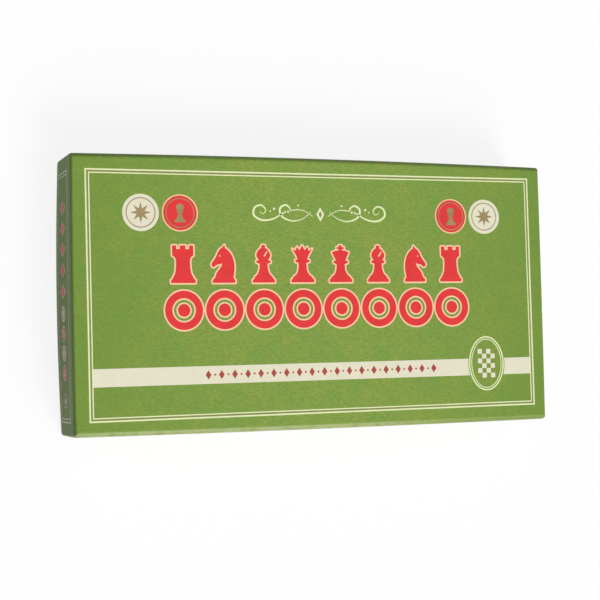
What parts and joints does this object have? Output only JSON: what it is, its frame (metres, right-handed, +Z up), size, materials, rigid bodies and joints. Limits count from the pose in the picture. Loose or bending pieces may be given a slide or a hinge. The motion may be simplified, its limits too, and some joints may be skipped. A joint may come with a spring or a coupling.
{
  "type": "boxed chess and draughts set",
  "caption": "Telescoping card game box with lift-off printed lid, tray with slotted dividers, folding chequered board, rules leaflet and turned discs for chess and draughts.",
  "frame": {"origin": "middle of the base sheet's underside, on the table", "axes": "+X along the box to the right of the lid's print, +Y to the top of the print, +Z up through the lid"},
  "size_m": [0.376, 0.2, 0.047],
  "materials": {
    "printed_paper": "satin",
    "plain_paper": "satin",
    "lining_paper": "matte",
    "grey_board": "matte",
    "folding_card": "matte",
    "board_paper": "matte",
    "playing_sheet": "satin",
    "hinge_cloth": "matte",
    "leaflet_paper": "matte",
    "cream_wood": "satin",
    "red_wood": "satin"
  },
  "bodies": {
    "tray": {"tray_shell": "grey_board", "tray_wrap": "plain_paper", "tray_base_sheet": "plain_paper", "tray_floor_lining": "lining_paper", "insert_carton": "folding_card", "long_divider_1": "folding_card", "long_divider_2": "folding_card", "long_divider_3": "folding_card", "cross_divider_1": "folding_card", "cross_divider_2": "folding_card", "cross_divider_3": "folding_card", "cross_divider_4": "folding_card", "cross_divider_5": "folding_card", "cross_divider_6": "folding_card", "cross_divider_7": "folding_card"},
    "board_lower": {"lower_leaf_core": "grey_board", "lower_leaf_wrap": "board_paper", "lower_play_sheet": "playing_sheet", "hinge_cloth": "hinge_cloth"},
    "board_upper": {"upper_leaf_core": "grey_board", "upper_leaf_wrap": "board_paper", "upper_play_sheet": "playing_sheet"},
    "leaflet": {"rules_leaflet": "leaflet_paper"},
    "lid": {"lid_shell": "grey_board", "lid_wrap": "printed_paper", "lid_lining": "lining_paper"},
    "cream_rook_a": {"cream_rook_a": "cream_wood"},
    "cream_pawn_a": {"cream_pawn_a": "cream_wood"},
    "cream_knight_b": {"cream_knight_b": "cream_wood"},
    "cream_pawn_b": {"cream_pawn_b": "cream_wood"},
    "cream_bishop_c": {"cream_bishop_c": "cream_wood"},
    "cream_pawn_c": {"cream_pawn_c": "cream_wood"},
    "cream_queen_d": {"cream_queen_d": "cream_wood"},
    "cream_pawn_d": {"cream_pawn_d": "cream_wood"},
    "cream_king_e": {"cream_king_e": "cream_wood"},
    "cream_pawn_e": {"cream_pawn_e": "cream_wood"},
    "cream_bishop_f": {"cream_bishop_f": "cream_wood"},
    "cream_pawn_f": {"cream_pawn_f": "cream_wood"},
    "cream_knight_g": {"cream_knight_g": "cream_wood"},
    "cream_pawn_g": {"cream_pawn_g": "cream_wood"},
    "cream_rook_h": {"cream_rook_h": "cream_wood"},
    "cream_pawn_h": {"cream_pawn_h": "cream_wood"},
    "red_rook_a": {"red_rook_a": "red_wood"},
    "red_pawn_a": {"red_pawn_a": "red_wood"},
    "red_knight_b": {"red_knight_b": "red_wood"},
    "red_pawn_b": {"red_pawn_b": "red_wood"},
    "red_bishop_c": {"red_bishop_c": "red_wood"},
    "red_pawn_c": {"red_pawn_c": "red_wood"},
    "red_queen_d": {"red_queen_d": "red_wood"},
    "red_pawn_d": {"red_pawn_d": "red_wood"},
    "red_king_e": {"red_king_e": "red_wood"},
    "red_pawn_e": {"red_pawn_e": "red_wood"},
    "red_bishop_f": {"red_bishop_f": "red_wood"},
    "red_pawn_f": {"red_pawn_f": "red_wood"},
    "red_knight_g": {"red_knight_g": "red_wood"},
    "red_pawn_g": {"red_pawn_g": "red_wood"},
    "red_rook_h": {"red_rook_h": "red_wood"},
    "red_pawn_h": {"red_pawn_h": "red_wood"}
  },
  "joints": [
    {"name": "board_lift", "type": "slide", "parent": "tray", "child": "board_lower", "axis": [0, 0, 1], "range_m": [0, 0.16]},
    {"name": "board_unfold", "type": "hinge", "parent": "board_lower", "child": "board_upper", "pos_m": [0, -0.0925, 0.0415], "axis": [1, 0, 0], "range_deg": [0, 180], "deforming": ["hinge_cloth"]},
    {"name": "leaflet_lift", "type": "slide", "parent": "board_lower", "child": "leaflet", "axis": [0, 0, 1], "range_m": [0, 0.601]},
    {"name": "lid_lift", "type": "slide", "parent": "leaflet", "child": "lid", "axis": [0, 0, 1], "range_m": [0, 0.12]},
    {"name": "cream_rook_a_lift", "type": "slide", "parent": "tray", "child": "cream_rook_a", "axis": [0, 0, 1], "range_m": [0, 0.08]},
    {"name": "cream_pawn_a_lift", "type": "slide", "parent": "tray", "child": "cream_pawn_a", "axis": [0, 0, 1], "range_m": [0, 0.08]},
    {"name": "cream_knight_b_lift", "type": "slide", "parent": "tray", "child": "cream_knight_b", "axis": [0, 0, 1], "range_m": [0, 0.08]},
    {"name": "cream_pawn_b_lift", "type": "slide", "parent": "tray", "child": "cream_pawn_b", "axis": [0, 0, 1], "range_m": [0, 0.08]},
    {"name": "cream_bishop_c_lift", "type": "slide", "parent": "tray", "child": "cream_bishop_c", "axis": [0, 0, 1], "range_m": [0, 0.08]},
    {"name": "cream_pawn_c_lift", "type": "slide", "parent": "tray", "child": "cream_pawn_c", "axis": [0, 0, 1], "range_m": [0, 0.08]},
    {"name": "cream_queen_d_lift", "type": "slide", "parent": "tray", "child": "cream_queen_d", "axis": [0, 0, 1], "range_m": [0, 0.08]},
    {"name": "cream_pawn_d_lift", "type": "slide", "parent": "tray", "child": "cream_pawn_d", "axis": [0, 0, 1], "range_m": [0, 0.08]},
    {"name": "cream_king_e_lift", "type": "slide", "parent": "tray", "child": "cream_king_e", "axis": [0, 0, 1], "range_m": [0, 0.08]},
    {"name": "cream_pawn_e_lift", "type": "slide", "parent": "tray", "child": "cream_pawn_e", "axis": [0, 0, 1], "range_m": [0, 0.08]},
    {"name": "cream_bishop_f_lift", "type": "slide", "parent": "tray", "child": "cream_bishop_f", "axis": [0, 0, 1], "range_m": [0, 0.08]},
    {"name": "cream_pawn_f_lift", "type": "slide", "parent": "tray", "child": "cream_pawn_f", "axis": [0, 0, 1], "range_m": [0, 0.08]},
    {"name": "cream_knight_g_lift", "type": "slide", "parent": "tray", "child": "cream_knight_g", "axis": [0, 0, 1], "range_m": [0, 0.08]},
    {"name": "cream_pawn_g_lift", "type": "slide", "parent": "tray", "child": "cream_pawn_g", "axis": [0, 0, 1], "range_m": [0, 0.08]},
    {"name": "cream_rook_h_lift", "type": "slide", "parent": "tray", "child": "cream_rook_h", "axis": [0, 0, 1], "range_m": [0, 0.08]},
    {"name": "cream_pawn_h_lift", "type": "slide", "parent": "tray", "child": "cream_pawn_h", "axis": [0, 0, 1], "range_m": [0, 0.08]},
    {"name": "red_rook_a_lift", "type": "slide", "parent": "tray", "child": "red_rook_a", "axis": [0, 0, 1], "range_m": [0, 0.08]},
    {"name": "red_pawn_a_lift", "type": "slide", "parent": "tray", "child": "red_pawn_a", "axis": [0, 0, 1], "range_m": [0, 0.08]},
    {"name": "red_knight_b_lift", "type": "slide", "parent": "tray", "child": "red_knight_b", "axis": [0, 0, 1], "range_m": [0, 0.08]},
    {"name": "red_pawn_b_lift", "type": "slide", "parent": "tray", "child": "red_pawn_b", "axis": [0, 0, 1], "range_m": [0, 0.08]},
    {"name": "red_bishop_c_lift", "type": "slide", "parent": "tray", "child": "red_bishop_c", "axis": [0, 0, 1], "range_m": [0, 0.08]},
    {"name": "red_pawn_c_lift", "type": "slide", "parent": "tray", "child": "red_pawn_c", "axis": [0, 0, 1], "range_m": [0, 0.08]},
    {"name": "red_queen_d_lift", "type": "slide", "parent": "tray", "child": "red_queen_d", "axis": [0, 0, 1], "range_m": [0, 0.08]},
    {"name": "red_pawn_d_lift", "type": "slide", "parent": "tray", "child": "red_pawn_d", "axis": [0, 0, 1], "range_m": [0, 0.08]},
    {"name": "red_king_e_lift", "type": "slide", "parent": "tray", "child": "red_king_e", "axis": [0, 0, 1], "range_m": [0, 0.08]},
    {"name": "red_pawn_e_lift", "type": "slide", "parent": "tray", "child": "red_pawn_e", "axis": [0, 0, 1], "range_m": [0, 0.08]},
    {"name": "red_bishop_f_lift", "type": "slide", "parent": "tray", "child": "red_bishop_f", "axis": [0, 0, 1], "range_m": [0, 0.08]},
    {"name": "red_pawn_f_lift", "type": "slide", "parent": "tray", "child": "red_pawn_f", "axis": [0, 0, 1], "range_m": [0, 0.08]},
    {"name": "red_knight_g_lift", "type": "slide", "parent": "tray", "child": "red_knight_g", "axis": [0, 0, 1], "range_m": [0, 0.08]},
    {"name": "red_pawn_g_lift", "type": "slide", "parent": "tray", "child": "red_pawn_g", "axis": [0, 0, 1], "range_m": [0, 0.08]},
    {"name": "red_rook_h_lift", "type": "slide", "parent": "tray", "child": "red_rook_h", "axis": [0, 0, 1], "range_m": [0, 0.08]},
    {"name": "red_pawn_h_lift", "type": "slide", "parent": "tray", "child": "red_pawn_h", "axis": [0, 0, 1], "range_m": [0, 0.08]}
  ],
  "couplings": [
    {"joint": "leaflet_lift", "follows": "board_unfold", "m_per_rad": 0.19099},
    {"joint": "cream_rook_a_lift", "follows": "board_lift", "ratio": 0.5},
    {"joint": "cream_pawn_a_lift", "follows": "board_lift", "ratio": 0.5},
    {"joint": "cream_knight_b_lift", "follows": "board_lift", "ratio": 0.5},
    {"joint": "cream_pawn_b_lift", "follows": "board_lift", "ratio": 0.5},
    {"joint": "cream_bishop_c_lift", "follows": "board_lift", "ratio": 0.5},
    {"joint": "cream_pawn_c_lift", "follows": "board_lift", "ratio": 0.5},
    {"joint": "cream_queen_d_lift", "follows": "board_lift", "ratio": 0.5},
    {"joint": "cream_pawn_d_lift", "follows": "board_lift", "ratio": 0.5},
    {"joint": "cream_king_e_lift", "follows": "board_lift", "ratio": 0.5},
    {"joint": "cream_pawn_e_lift", "follows": "board_lift", "ratio": 0.5},
    {"joint": "cream_bishop_f_lift", "follows": "board_lift", "ratio": 0.5},
    {"joint": "cream_pawn_f_lift", "follows": "board_lift", "ratio": 0.5},
    {"joint": "cream_knight_g_lift", "follows": "board_lift", "ratio": 0.5},
    {"joint": "cream_pawn_g_lift", "follows": "board_lift", "ratio": 0.5},
    {"joint": "cream_rook_h_lift", "follows": "board_lift", "ratio": 0.5},
    {"joint": "cream_pawn_h_lift", "follows": "board_lift", "ratio": 0.5},
    {"joint": "red_rook_a_lift", "follows": "board_lift", "ratio": 0.5},
    {"joint": "red_pawn_a_lift", "follows": "board_lift", "ratio": 0.5},
    {"joint": "red_knight_b_lift", "follows": "board_lift", "ratio": 0.5},
    {"joint": "red_pawn_b_lift", "follows": "board_lift", "ratio": 0.5},
    {"joint": "red_bishop_c_lift", "follows": "board_lift", "ratio": 0.5},
    {"joint": "red_pawn_c_lift", "follows": "board_lift", "ratio": 0.5},
    {"joint": "red_queen_d_lift", "follows": "board_lift", "ratio": 0.5},
    {"joint": "red_pawn_d_lift", "follows": "board_lift", "ratio": 0.5},
    {"joint": "red_king_e_lift", "follows": "board_lift", "ratio": 0.5},
    {"joint": "red_pawn_e_lift", "follows": "board_lift", "ratio": 0.5},
    {"joint": "red_bishop_f_lift", "follows": "board_lift", "ratio": 0.5},
    {"joint": "red_pawn_f_lift", "follows": "board_lift", "ratio": 0.5},
    {"joint": "red_knight_g_lift", "follows": "board_lift", "ratio": 0.5},
    {"joint": "red_pawn_g_lift", "follows": "board_lift", "ratio": 0.5},
    {"joint": "red_rook_h_lift", "follows": "board_lift", "ratio": 0.5},
    {"joint": "red_pawn_h_lift", "follows": "board_lift", "ratio": 0.5}
  ]
}
